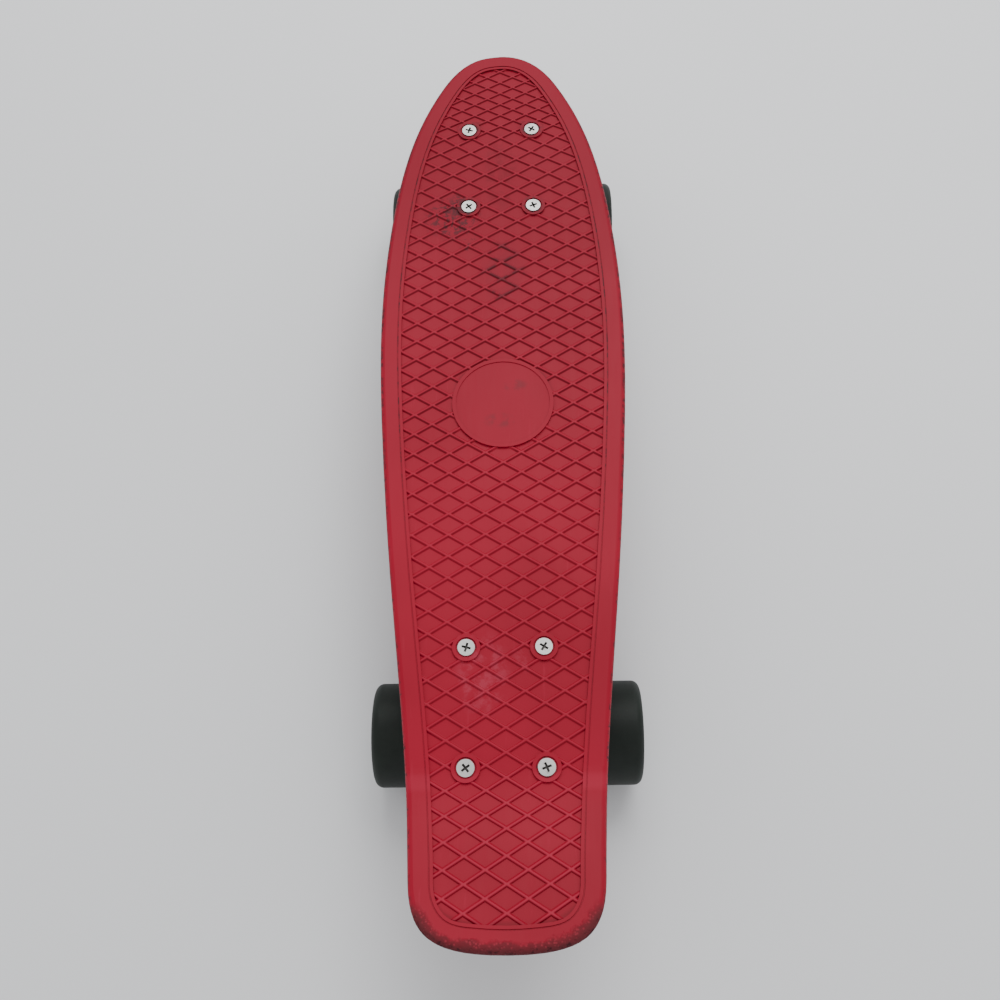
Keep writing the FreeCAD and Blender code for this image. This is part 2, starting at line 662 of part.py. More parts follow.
for end in ("front", "rear"):
    frame = truckPlace(end)
    down = kingpin_up * -1

    base = node(end + "_baseplate", makeBaseplate())
    place(base, end)
    hanger = node(end + "_hanger", makeHanger())
    place(hanger, end)

    stack_down = (number(size.seat_ring_thickness) / 2 + number(size.cone_bushing_height)
                  + number(size.cup_washer_thickness))
    head_base = kingpinHeadBase()
    nut_end = seat_centre + down * (stack_down + number(size.kingpin_nut_height))
    grip = (head_base - nut_end).Length + number(size.kingpin_tail)
    kingpin = doc.addObject("PartDesign::Body", end + "_kingpin")
    extrude(kingpin, hexagon(size.kingpin_head_across), size.kingpin_head_height, end + "_head")
    shank = addSketch(kingpin, "XZ_Plane", [
        (zero, -grip), (size.kingpin_diameter / 2 - size.edge_chamfer, -grip),
        (size.kingpin_diameter / 2, number(size.edge_chamfer) - grip),
        (size.kingpin_diameter / 2, size.kingpin_head_height / 2), (zero, size.kingpin_head_height / 2),
    ], end + "_shank_profile")
    turned = kingpin.newObject("PartDesign::Revolution", end + "_shank")
    turned.Profile = shank
    turned.ReferenceAxis = (shank, ["V_Axis"])
    turned.Angle = 360
    kingpin.Placement = along(head_base, kingpin_up)
    place(kingpin, end)

    lock = nutBody(end + "_kingpin_nut", size.kingpin_head_across, size.kingpin_nut_height,
                   size.kingpin_diameter / 2 + size.axle_clearance)
    lock.Placement = along(seat_centre + down * stack_down, down)
    place(lock, end)

    place(bushing(end + "_barrel_bushing", size.barrel_bushing_height, size.bushing_diameter,
                  size.bushing_diameter, kingpin_up), end)
    place(bushing(end + "_cone_bushing", size.cone_bushing_height, size.bushing_diameter,
                  size.cone_bushing_tip, down), end)
    ring_half = number(size.seat_ring_thickness) / 2
    place(cupWasher(end + "_upper_cup_washer", ring_half + number(size.barrel_bushing_height),
                    size.bushing_diameter, kingpin_up), end)
    place(cupWasher(end + "_lower_cup_washer", ring_half + number(size.cone_bushing_height),
                    size.cone_bushing_tip, down), end)

    cup_inner = size.pivot_nose_diameter / 2 + size.pivot_clearance
    cup_outer = cup_inner + size.pivot_cup_wall
    cup_mouth = -size.pivot_cup_open
    cup_end = size.pivot_cup_depth - size.pivot_cup_open
    cup = lathe(end + "_pivot_cup", [
        (cup_inner, cup_mouth), (cup_outer, cup_mouth), (cup_outer, cup_end), (zero, cup_end),
        (zero, cup_inner), (cup_inner, cup_inner),
    ])
    cup.Placement = along(pivot_centre, steer_direction)
    place(cup, end)

    axle_radius = size.axle_diameter / 2
    axle = lathe(end + "_axle", [
        (zero, -axle_half), (axle_radius - size.edge_chamfer, -axle_half),
        (axle_radius, -axle_half + size.edge_chamfer), (axle_radius, axle_half - size.edge_chamfer),
        (axle_radius - size.edge_chamfer, axle_half), (zero, axle_half),
    ])
    axle.Placement = Placement(Vector(0, 0, 0), across_x)
    place(axle, end)

    inner_face = number(size.hanger_width) / 2
    outer_face = inner_face + number(size.washer_thickness) + number(bearing_stack)
    nut_face = outer_face + number(size.washer_thickness)
    bearing_centres = [number(wheel_offset) + sign * number(size.spacer_length + size.bearing_width) / 2
                       for sign in (-1, 1)]

    def sideways(distance, side):
        """A placement on the axle whose local +Z points outwards on the given side."""
        turn = Rotation(Vector(0, 1, 0), 90 * side)
        return frame.multiply(Placement(Vector(side * distance, 0, 0), turn))

    group(end + "_axle_nuts", axle_nut_template.Shape, [sideways(nut_face, side) for side in (-1, 1)])
    group(end + "_speed_washers", washer_template.Shape,
          [sideways(face, side) for side in (-1, 1) for face in (inner_face, outer_face)])
    group(end + "_bearing_spacers", spacer_template.Shape,
          [sideways(number(wheel_offset), side) for side in (-1, 1)])
    group(end + "_bearing_inner_rings", inner_ring_template.Shape,
          [sideways(centre, side) for side in (-1, 1) for centre in bearing_centres])

    bolts = boltPlaces()[end]
    turned_bolts = [Placement(point, Rotation(Vector(0, 0, 1), cross_turn * (index + 1)))
                    for index, point in enumerate(bolts)]
    group(end + "_deck_bolts", bolt_template.Shape, turned_bolts)
    nut_top = number(mount_height - size.plate_thickness)
    group(end + "_deck_nuts", nut_template.Shape,
          [Placement(Vector(point.x, point.y, nut_top - number(size.nut_height)), Rotation())
           for point in bolts])

    for hand in ("left", "right"):
        side = (1 if hand == "right" else -1) * (1 if end == "front" else -1)
        wheel = end + "_" + hand
        half_wide = size.wheel_width / 2
        half_core = size.core_width / 2
        tyre = lathe(wheel + "_tyre", [
            (size.core_diameter / 2, -half_core), (size.core_diameter / 2, half_core),
            (size.wheel_lip_diameter / 2, half_wide), (size.wheel_diameter / 2, half_wide),
            (size.wheel_diameter / 2, -half_wide), (size.wheel_lip_diameter / 2, -half_wide),
        ])
        tread = tyre.Tip
        doc.recompute()
        rim = ["Edge" + str(index + 1) for index, edge in enumerate(tread.Shape.Edges)
               if edge.Curve.TypeId == "Part::GeomCircle"
               and abs(edge.Curve.Radius - number(size.wheel_diameter) / 2) < 0.01]
        rounded = tyre.newObject("PartDesign::Fillet", wheel + "_rounded")
        rounded.Base = (tread, rim)
        rounded.Radius = number(size.wheel_edge_round)
        rounded.setExpression("Radius", size.wheel_edge_round.text)
        tyre.Placement = sideways(number(wheel_offset), side)

        seat = size.bearing_outer / 2 + size.axle_clearance
        half_gap = size.spacer_length / 2
        core = lathe(wheel + "_core", [
            (size.core_shoulder_diameter / 2, -half_gap), (seat, -half_gap), (seat, -half_core),
            (size.core_diameter / 2, -half_core), (size.core_diameter / 2, half_core),
            (seat, half_core), (seat, half_gap), (size.core_shoulder_diameter / 2, half_gap),
        ])
        core.Placement = sideways(number(wheel_offset), side)

        centres = [sideways(centre, side) for centre in bearing_centres]
        flip = Placement(Vector(0, 0, 0), Rotation(Vector(0, 1, 0), 180))
        group(wheel + "_bearing_outer_rings", outer_ring_template.Shape, centres)
        group(wheel + "_bearing_shields", shield_template.Shape,
              [at.multiply(turn) for at in centres for turn in (Placement(), flip)])
        group(wheel + "_bearing_balls", balls_shape, centres)
        group(wheel + "_bearing_cages", cage_shape, centres)

doc.recompute()

# ---- checks and files ----

os.makedirs("parts", exist_ok=True)
broken = [item.Name for item in doc.Objects if {"Invalid", "Error"} & set(item.State)]
if broken:
    raise RuntimeError("objects that failed: " + ", ".join(broken))
subparts = [item for item in doc.Objects if item.TypeId in ("PartDesign::Body", "Part::Feature")
            and not item.Label.startswith("template_")]
for item in subparts:
    if item.Shape.isNull() or not item.Shape.isValid():
        raise RuntimeError("not a sound solid: " + item.Label)
for item in subparts:
    item.Shape.exportStep(os.path.join("parts", item.Label + ".step"))
    print(item.Label, round(item.Shape.Volume, 1), "mm3", len(item.Shape.Solids), "solids")
print(len(subparts), "sub-parts")
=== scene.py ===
import json
import math

import bpy
import numpy as np
from mathutils import Matrix, Vector


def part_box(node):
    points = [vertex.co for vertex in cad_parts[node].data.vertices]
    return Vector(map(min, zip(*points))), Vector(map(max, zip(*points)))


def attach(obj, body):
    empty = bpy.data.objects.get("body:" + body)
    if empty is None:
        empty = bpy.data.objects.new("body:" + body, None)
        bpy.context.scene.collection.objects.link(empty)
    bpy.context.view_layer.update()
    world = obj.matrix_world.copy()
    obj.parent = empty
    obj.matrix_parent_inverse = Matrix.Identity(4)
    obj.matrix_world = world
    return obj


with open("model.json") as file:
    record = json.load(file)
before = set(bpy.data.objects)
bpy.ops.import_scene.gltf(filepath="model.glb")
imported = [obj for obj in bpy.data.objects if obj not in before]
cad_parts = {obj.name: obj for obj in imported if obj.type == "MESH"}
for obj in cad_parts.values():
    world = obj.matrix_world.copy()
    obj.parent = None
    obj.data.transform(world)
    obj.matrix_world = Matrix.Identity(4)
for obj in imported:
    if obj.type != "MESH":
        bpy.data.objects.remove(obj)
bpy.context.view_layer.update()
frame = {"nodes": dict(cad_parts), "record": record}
nodes = frame["nodes"]
print("frame loaded:", len(nodes), "nodes")


class Wire:
    # one output socket, so that sums and products of sockets read as plain expressions
    def __init__(self, tree, socket):
        self.tree = tree
        self.socket = socket

    def make(self, kind, settings=None, values=None, output=0):
        # adds a node: its settings first, then numbers or wires into its named or numbered inputs
        node = self.tree.nodes.new(kind)
        for name, setting in (settings or {}).items():
            setattr(node, name, setting)
        for name, value in (values or {}).items():
            target = node.inputs[name]
            if isinstance(value, Wire):
                self.tree.links.new(value.socket, target)
            else:
                target.default_value = value
        return Wire(self.tree, node.outputs[output])

    def maths(self, operation, *values):
        return self.make("ShaderNodeMath", {"operation": operation}, dict(enumerate(values)))

    def __add__(self, other):
        return self.maths("ADD", self, other)

    def __radd__(self, other):
        return self.maths("ADD", other, self)

    def __sub__(self, other):
        return self.maths("SUBTRACT", self, other)

    def __rsub__(self, other):
        return self.maths("SUBTRACT", other, self)

    def __mul__(self, other):
        return self.maths("MULTIPLY", self, other)

    def __rmul__(self, other):
        return self.maths("MULTIPLY", other, self)

    def __truediv__(self, other):
        return self.maths("DIVIDE", self, other)

    def __pow__(self, other):
        return self.maths("POWER", self, other)

    def absolute(self):
        return self.maths("ABSOLUTE", self)

    def least(self, other):
        return self.maths("MINIMUM", self, other)

    def most(self, other):
        return self.maths("MAXIMUM", self, other)

    def between(self, low, high):
        # 0 up to low, 1 from high, smooth in between; also falls when low is above high
        settings = {"interpolation_type": "SMOOTHSTEP"}
        values = {"Value": self, "From Min": low, "From Max": high}
        if low > high:
            values = {"Value": self, "From Min": high, "From Max": low, "To Min": 1.0, "To Max": 0.0}
        return self.make("ShaderNodeMapRange", settings, values)

    def noise(self, scale, detail=2.0, roughness=0.5, stretch=None):
        # fractal noise on this vector; stretch squeezes the pattern along an axis
        vector = self
        if stretch:
            vector = self.make("ShaderNodeMapping", {}, {"Vector": self, "Scale": stretch})
        values = {"Vector": vector, "Scale": scale, "Detail": detail, "Roughness": roughness}
        return self.make("ShaderNodeTexNoise", {}, values)

    def speckle(self, scale):
        # distance to the nearest of many scattered points
        return self.make("ShaderNodeTexVoronoi", {}, {"Vector": self, "Scale": scale})

    def colourMix(self, first, second):
        # this mask blends from the first colour to the second
        node = self.tree.nodes.new("ShaderNodeMix")
        node.data_type = "RGBA"
        for socket, value in ((node.inputs[0], self), (node.inputs[6], first), (node.inputs[7], second)):
            if isinstance(value, Wire):
                self.tree.links.new(value.socket, socket)
            else:
                socket.default_value = (*value, 1.0)
        return Wire(self.tree, node.outputs[2])


class Finish:
    # a new material with its surface shader and the object's own coordinates
    def __init__(self, name, **constants):
        self.material = bpy.data.materials.new(name)
        self.material.use_nodes = True
        tree = self.material.node_tree
        self.tree = tree
        self.shader = tree.nodes["Principled BSDF"]
        for socketName, value in constants.items():
            self.shader.inputs[socketName.replace("_", " ")].default_value = value
        coordinates = tree.nodes.new("ShaderNodeTexCoord")
        self.point = Wire(tree, coordinates.outputs["Object"])
        parts = tree.nodes.new("ShaderNodeSeparateXYZ")
        tree.links.new(self.point.socket, parts.inputs[0])
        self.x = Wire(tree, parts.outputs[0])
        self.y = Wire(tree, parts.outputs[1])
        self.z = Wire(tree, parts.outputs[2])

    def feed(self, name, wire):
        self.tree.links.new(wire.socket, self.shader.inputs[name])

    def bump(self, heights):
        # stacks bumps: each is (height wire, distance in metres, strength)
        normal = None
        for height, distance, strength in heights:
            values = {"Height": height, "Distance": distance, "Strength": strength}
            if normal:
                values["Normal"] = normal
            normal = height.make("ShaderNodeBump", {}, values)
        self.feed("Normal", normal)


# the deck's place and size come from the frame
deckLow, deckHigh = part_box("deck")
deckLength = deckHigh[1] - deckLow[1]
deckWidth = deckHigh[0] - deckLow[0]
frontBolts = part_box("front_deck_bolts")
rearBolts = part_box("rear_deck_bolts")
deckTop = frontBolts[1][2]

deckShape = dict(
    kickStart=0.0892,        # from the tail's end to where the kick begins
    kickRadius=0.096,
    kickAngle=math.radians(14.9),
    rimWidth=0.011,
    borderWidth=0.0016,
    fieldDepth=0.0015,
    bossRadius=0.0075,
    medallionRadius=0.02975,
    medallionOffset=0.0024,  # ahead of the middle between the two sets of screws
    boltHeadRadius=0.0046,
)
medallionY = (frontBolts[0][1] + frontBolts[1][1] + rearBolts[0][1] + rearBolts[1][1]) / 4
medallionY += deckShape["medallionOffset"]

# right half of the outline as shares of half the width and half the length
outlineShares = np.array([
    (0.000, 1.000), (0.205, 0.990), (0.360, 0.962), (0.546, 0.892), (0.749, 0.766), (0.934, 0.529),
    (1.000, 0.255), (0.955, -0.026), (0.837, -0.363), (0.724, -0.626), (0.667, -0.801),
    (0.650, -0.868), (0.614, -0.932), (0.530, -0.968), (0.380, -0.989), (0.190, -0.998),
])


def closedSpline(points, count):
    # natural cubic through the points on chord length, closed: solved as one cyclic linear system
    gaps = np.linalg.norm(np.roll(points, -1, axis=0) - points, axis=1)
    size = len(points)
    before = np.roll(gaps, 1)
    system = np.zeros((size, size))
    rows = np.arange(size)
    system[rows, rows] = 2 * (before + gaps)
    system[rows, (rows - 1) % size] += before
    system[rows, (rows + 1) % size] += gaps
    slopes = (np.roll(points, -1, axis=0) - points) / gaps[:, None]
    right = 6 * (slopes - np.roll(slopes, 1, axis=0))
    bends = np.linalg.solve(system, right)
    knots = np.concatenate([[0], np.cumsum(gaps)])
    at = np.linspace(0, knots[-1], count, endpoint=False)
    span = np.clip(np.searchsorted(knots, at, side="right") - 1, 0, size - 1)
    step = gaps[span][:, None]
    left = (at - knots[span])[:, None]
    rest = step - left
    following = (span + 1) % size
    return (bends[span] * rest ** 3 + bends[following] * left ** 3) / (6 * step) \
        + (points[span] / step - bends[span] * step / 6) * rest \
        + (points[following] / step - bends[following] * step / 6) * left


def deckOutline(inset, count=360):
    # the plan outline moved inwards along its own normals
    right = outlineShares * [deckWidth / 2, deckLength / 2]
    left = right[1:][::-1] * [-1, 1]
    middle = (deckLow[1] + deckHigh[1]) / 2
    ring = np.vstack([right, [[0, -deckLength / 2]], left])
    line = closedSpline(ring, count)
    ahead = np.roll(line, -1, axis=0) - np.roll(line, 1, axis=0)
    ahead /= np.linalg.norm(ahead, axis=1)[:, None]
    inward = np.stack([ahead[:, 1], -ahead[:, 0]], axis=1)
    return line + inward * inset + [0, middle]


def ridingHeight(y):
    # height of the riding surface: level, then an arc of the kick's radius, then a straight slope
    bend = deckLow[1] + deckShape["kickStart"]
    radius = deckShape["kickRadius"]
    angle = deckShape["kickAngle"]
    back = np.maximum(bend - y, 0)
    arcEnd = radius * math.sin(angle)
    onArc = radius - np.sqrt(radius ** 2 - np.minimum(back, arcEnd) ** 2)
    return deckTop + onArc + np.maximum(back - arcEnd, 0) * math.tan(angle)


def newPiece(name, points, faces, smooth=40):
    # an object at the origin whose mesh holds these points, in metres, and faces
    mesh = bpy.data.meshes.new(name)
    mesh.from_pydata(points.tolist(), [], faces.tolist() if hasattr(faces, "tolist") else faces)
    mesh.update()
    piece = bpy.data.objects.new(name, mesh)
    bpy.context.scene.collection.objects.link(piece)
    shadeSmooth(mesh, smooth)
    return piece


def shadeSmooth(mesh, angle):
    # smooth faces, with a sharp edge wherever two faces turn by more than this angle
    mesh.polygons.foreach_set("use_smooth", np.ones(len(mesh.polygons), dtype=bool))
    mesh.set_sharp_from_angle(angle=math.radians(angle))
    mesh.update()


def prism(name, rings, low, high):
    # upright walls on each closed ring of plan points, with flat ends
    points = []
    faces = []
    for ring in rings:
        count = len(ring)
        start = sum(len(block) for block in points)
        bottom = np.column_stack([ring, np.full(count, low)])
        top = np.column_stack([ring, np.full(count, high)])
        points.extend([bottom, top])
        step = np.arange(count)
        after = (step + 1) % count
        walls = np.stack([step, after, after + count, step + count], axis=1) + start
        faces.extend(walls.tolist())
        faces.append((step[::-1] + start).tolist())
        faces.append((step + count + start).tolist())
    piece = newPiece(name, np.vstack(points), faces)
    return piece


def counterClockwise(ring):
    # the ring's signed area, by the shoelace sum, says which way round it runs
    x, y = ring[:, 0], ring[:, 1]
    area = np.sum(x * np.roll(y, -1) - np.roll(x, -1) * y)
    return ring if area > 0 else ring[::-1]


def circle(centre, radius, count=72):
    # points at equal turns about the centre
    turn = np.arange(count) / count * 2 * math.pi
    return np.column_stack([centre[0] + radius * np.cos(turn), centre[1] + radius * np.sin(turn)])


def applyBoolean(piece, cutter, operation):
    # joins or cuts the piece with the cutter, keeps the result and drops the cutter
    modifier = piece.modifiers.new("cut", "BOOLEAN")
    modifier.operation = operation
    modifier.solver = "EXACT"
    modifier.object = cutter
    bpy.context.view_layer.update()
    graph = bpy.context.evaluated_depsgraph_get()
    mesh = bpy.data.meshes.new_from_object(piece.evaluated_get(graph))
    old = piece.data
    piece.modifiers.clear()
    piece.data = mesh
    bpy.data.meshes.remove(old)
    removed = cutter.data
    bpy.data.objects.remove(cutter)
    bpy.data.meshes.remove(removed)


waffle = dict(
    acrossPitch=0.02065,
    alongPitch=0.012737,
    crossingY=-0.1279,       # a crossing on the centre line
    kickY=-0.229,            # behind this the pattern is a little longer
    kickGain=1.049,
    noseY=0.190,             # ahead of this it is a little shorter, and past tipY shorter still
    noseGain=0.95,
    tipY=0.2184,
    tipGain=0.76,
    slimFrom=0.188,          # between these it grows narrower as well
    slimTo=0.236,
    slimGain=0.825,
    ribTop=0.0010,           # width of the rounded crest
    ribFoot=0.0023,          # width at the recess floor
    crestDome=0.06,          # how far the crest falls towards its edges, as a share of its height
    fillet=0.00035,          # flat strip kept beside each rib so that the recess floor stays level
    ribHeight=0.00095,
    skin=0.00008,            # the mat's floor lies this far over the moulded recess
    buried=0.0004,           # and its underside this far below that
)


def ribProfile(distance):
    # a crest that is slightly domed, then a raised-cosine flank down to the floor
    top = waffle["ribTop"] / 2
    foot = waffle["ribFoot"] / 2
    flank = np.clip((distance - top) / (foot - top), 0, 1)
    dome = waffle["crestDome"] * np.minimum(distance / top, 1) ** 2
    return waffle["ribHeight"] * (0.5 + 0.5 * np.cos(math.pi * flank)) * (1 - dome)


def makeWaffle():
    # a grid on the two rib directions: a and b count ribs, x = pitch*(a-b)/2, y grows with (a+b)/2
    across = waffle["acrossPitch"]
    along = waffle["alongPitch"]
    gap = across * along / math.hypot(across, along)      # between neighbouring ribs
    foot = waffle["ribFoot"] / 2
    top = waffle["ribTop"] / 2
    offsets = np.array([0, top, (top + foot) / 2, foot, foot + waffle["fillet"]])
    offsets = np.concatenate([offsets, gap - offsets[:0:-1]]) / gap
    reach = deckWidth / 2 / across + 1
    low = math.floor((deckLow[1] - waffle["crossingY"]) / along - reach)
    high = math.ceil((deckHigh[1] - waffle["crossingY"]) / along + reach + 3)
    lines = (np.arange(low, high)[:, None] + offsets[None, :]).ravel()
    a, b = np.meshgrid(lines, lines, indexing="ij")
    even = waffle["crossingY"] + (a + b) / 2 * along
    y = even + np.minimum(even - waffle["kickY"], 0) * (waffle["kickGain"] - 1)
    y += np.maximum(even - waffle["noseY"], 0) * (waffle["noseGain"] - 1)
    y += np.maximum(even - waffle["tipY"], 0) * (waffle["tipGain"] - waffle["noseGain"])
    slim = np.clip((y - waffle["slimFrom"]) / (waffle["slimTo"] - waffle["slimFrom"]), 0, 1)
    slim = slim * slim * (3 - 2 * slim)
    x = across * (a - b) / 2 * (1 - slim * (1 - waffle["slimGain"]))
    nearest = [np.abs(value - np.round(value)) * gap for value in (a, b)]
    height = np.maximum(ribProfile(nearest[0]), ribProfile(nearest[1]))

    # keep the squares that touch the field, with a margin for the cut
    outline = deckOutline(deckShape["rimWidth"] + deckShape["borderWidth"] - 0.0001)
    rightSide = outline[outline[:, 0] >= 0]
    rightSide = rightSide[np.argsort(rightSide[:, 1])]
    halfWidth = np.interp(y, rightSide[:, 1], rightSide[:, 0], left=-1, right=-1)
    near = (np.abs(x) < halfWidth + gap * 0.7)
    ends = (y > rightSide[0, 1] - gap) & (y < rightSide[-1, 1] + gap)
    close = np.abs(x) < 0.045
    wanted = near | (ends & close)
    square = wanted[:-1, :-1] | wanted[1:, :-1] | wanted[:-1, 1:] | wanted[1:, 1:]
    number = np.arange(a.size).reshape(a.shape)
    quads = np.stack([number[:-1, :-1], number[1:, :-1], number[1:, 1:], number[:-1, 1:]], axis=-1)
    quads = quads[square]
    used, quads = np.unique(quads, return_inverse=True)
    quads = quads.reshape(-1, 4)
    plan = np.column_stack([x.ravel()[used], y.ravel()[used]])
    rise = height.ravel()[used]

    # close it below: the same squares turned over, and a wall on every open edge
    size = len(used)
    edges = np.concatenate([quads[:, [side, (side + 1) % 4]] for side in range(4)])
    key = np.sort(edges, axis=1)
    _, inverse, counts = np.unique(key, axis=0, return_inverse=True, return_counts=True)
    openEdges = edges[counts[inverse.ravel()] == 1]
    start, end = openEdges[:, 0], openEdges[:, 1]
    walls = np.column_stack([end, start, start + size, end + size])
    floor = -deckShape["fieldDepth"] + waffle["skin"]
    topPoints = np.column_stack([plan, floor + rise])
    bottomPoints = np.column_stack([plan, np.full(size, floor - waffle["buried"])])
    faces = np.vstack([quads, quads[:, ::-1] + size, walls])
    mat = newPiece("deck_waffle_ribs", np.vstack([topPoints, bottomPoints]), faces)

    applyBoolean(mat, prism("field_cutter", [counterClockwise(outline)], -0.01, 0.01), "INTERSECT")
    boltX = (frontBolts[1][0] - frontBolts[0][0]) / 2 - deckShape["boltHeadRadius"]
    rings = []
    for low, high in (frontBolts, rearBolts):
        for y in (low[1] + deckShape["boltHeadRadius"], high[1] - deckShape["boltHeadRadius"]):
            for side in (-1, 1):
                rings.append(circle((side * boltX, y), deckShape["bossRadius"] - 0.0001))
    rings.append(circle((0, medallionY), deckShape["medallionRadius"] - 0.0001, 120))
    applyBoolean(mat, prism("boss_cutter", rings, -0.01, 0.01), "DIFFERENCE")

    mesh = mat.data
    flat = np.empty(len(mesh.vertices) * 3)
    mesh.vertices.foreach_get("co", flat)
    flat = flat.reshape(-1, 3)
    ribShare = np.clip((flat[:, 2] - floor) / waffle["ribHeight"], 0, 1)
    attribute = mesh.attributes.new("ribShare", "FLOAT", "POINT")
    attribute.data.foreach_set("value", ribShare)

    # how squarely each point of a flank looks back towards the tail, where painted shade darkens it most
    normals = np.empty(len(mesh.vertices) * 3)
    mesh.vertices.foreach_get("normal", normals)
    attribute = mesh.attributes.new("tailward", "FLOAT", "POINT")
    attribute.data.foreach_set("value", np.clip(-normals.reshape(-1, 3)[:, 1], 0, 1))
    flat[:, 2] += ridingHeight(flat[:, 1])
    mesh.vertices.foreach_set("co", flat.ravel())
    mesh.update()
    shadeSmooth(mesh, 55)
    print("waffle:", len(mesh.vertices), "points", len(mesh.polygons), "faces")
    return mat


waffleMat = makeWaffle()
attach(waffleMat, "deck")


redPlastic = dict(
    body=(0.345, 0.0038, 0.0238),
    deepAndShade=(0.290, 0.0028, 0.0185),
    darkerRed=(0.200, 0.0012, 0.0130),
    rubbedAndHighlight=(0.410, 0.0180, 0.0460),
    chalky=(0.420, 0.0480, 0.0850),
    abraded=(0.260, 0.052, 0.064),
    ground=(0.120, 0.020, 0.025),
    dirt=(0.045, 0.0085, 0.0125),
    edge=(0.075, 0.0030, 0.0090),
    shadeAndSoil=(0.150, 0.0018, 0.0095),
    roughness=0.50,
)

# where the deck is worn or dirty, where it is darker towards the nose, and where painted highlights lie;
# a patch is its centre across and along, then half its width and length
wearAndHighlights = dict(
    darkerTowardsNose=(-0.10, 0.24),                # fades in from the first place to the second
    forward=(-0.10, 0.02),
    tailHalfWidth=0.0490,                # the ground tail: a rounded end of this half width,
    tailStart=-0.226,                    # this start
    tailReach=0.0620,                    # and this length
    tailSquareness=3.4,
    tailFade=(-0.262, -0.274),
    scuffByScrew=(-0.0275, 0.158, 0.0075, 0.013),
    scuffAround=(-0.031, 0.149, 0.021, 0.020),
    scuffBehind=(-0.021, 0.131, 0.008, 0.009),
    ribGrime=(0.001, 0.106, 0.017, 0.030),
    soiled=(0.0, 0.186, 0.013, 0.040),
    chalkLeft=(-0.012, -0.150, 0.017, 0.027),
    chalkRight=(0.012, -0.141, 0.010, 0.010),
    smudgeBehind=(-0.0018, 0.0012, 0.011, 0.006),
    smudgeAhead=(0.0073, 0.0246, 0.009, 0.005),
    screwCollar=(0.0085, 0.0050),        # fades in towards a front screw
    kickCrestHighlight=(-0.185, -0.215),         # the painted highlight on the rib crests is stronger behind these
    creaseHighlightY=-0.2065,
    creaseHighlightHalf=0.0055,
    noseEdge=(0.262, 0.276),
)


def patch(look, place):
    # 1 in the middle of an ellipse and 0 outside it: far is the squared distance in half widths
    centreX, centreY, halfWidth, halfLength = place
    far = ((look.x - centreX) / halfWidth) ** 2.0 + ((look.y - centreY) / halfLength) ** 2.0
    return far.between(1.0, 0.15)


def groundTail(look, colour, ragged, pits):
    # edge is 1 on the outline of the rounded end and falls inwards: a superellipse
    power = wearAndHighlights["tailSquareness"]
    across = (look.x.absolute() / wearAndHighlights["tailHalfWidth"]) ** power
    along = ((wearAndHighlights["tailStart"] - look.y).most(0.0) / wearAndHighlights["tailReach"]) ** power
    edge = (across + along) ** (1 / power)
    onTail = look.y.between(*wearAndHighlights["tailFade"])
    ground = (edge + ragged * 0.14 - 0.07).between(0.900, 0.945) * onTail
    outermost = (edge + ragged * 0.08).between(0.985, 1.020) * onTail
    scored = (ground * (0.60 + 0.40 * pits)).least(1.0)
    greyer = pits.colourMix(redPlastic["abraded"], redPlastic["ground"])
    colour = (scored * 0.80).colourMix(colour, greyer)
    return (outermost * 0.85).colourMix(colour, redPlastic["ground"]), ground, scored


def depthBelowTop(look):
    # height of the riding surface over this point: its level part plus the straight slope of the kick
    angle = deckShape["kickAngle"]
    bend = deckLow[1] + deckShape["kickStart"]
    missed = deckShape["kickRadius"] * (math.sin(angle) * math.tan(angle) - 1 + math.cos(angle))
    kickRise = ((bend - look.y) * math.tan(angle) - missed).most(0.0)
    return kickRise + deckTop - look.z


def screwCollar(look, speckles):
    # grime round the heads of the front screws: far is the distance to the nearest one
    headRadius = deckShape["boltHeadRadius"]
    boltX = frontBolts[1][0] - headRadius
    boltY = (frontBolts[0][1] + frontBolts[1][1]) / 2
    boltReach = (frontBolts[1][1] - frontBolts[0][1]) / 2 - headRadius
    across = look.x.absolute() - boltX
    along = (look.y - boltY).absolute() - boltReach
    far = (across ** 2.0 + along ** 2.0) ** 0.5
    return far.between(*wearAndHighlights["screwCollar"]) * speckles.between(0.38, 0.58)


def ribWearAndPaintedLight(look, colour, clouds, forward, grime, scuffs):
    # pale crests, from rubbing with a painted highlight on top; painted shade on the flanks, deepest on
    # those that look back towards the tail; grime in a patch
    share = look.point.make("ShaderNodeAttribute", {"attribute_name": "ribShare"}, output=2)
    tailward = look.point.make("ShaderNodeAttribute", {"attribute_name": "tailward"}, output=2)
    flank = (1.0 - (share * 2.0 - 0.9).absolute()).between(0.05, 0.8)
    # crest colour: paler from rubbing everywhere, with a painted highlight added on the kick
    crest = share.between(0.75, 1.0) * (0.30 + 0.45 * look.y.between(*wearAndHighlights["kickCrestHighlight"]))
    colour = crest.colourMix(colour, redPlastic["rubbedAndHighlight"])
    # a little painted shade on every flank
    colour = (flank * 0.18).colourMix(colour, redPlastic["deepAndShade"])
    # painted shade on the flanks that look back towards the tail, weaker at the back
    shadeAndSoil = tailward.between(0.10, 0.55) * (0.40 + 0.45 * forward) * (0.60 + 0.8 * clouds)
    colour = shadeAndSoil.least(1.0).colourMix(colour, redPlastic["shadeAndSoil"])
    outlined = (grime * share.between(0.02, 0.5)).least(1.0) * 0.62
    colour = outlined.colourMix(colour, redPlastic["dirt"])
    colour = (grime * 0.12).colourMix(colour, redPlastic["dirt"])
    return (scuffs * 0.75).colourMix(colour, redPlastic["dirt"])


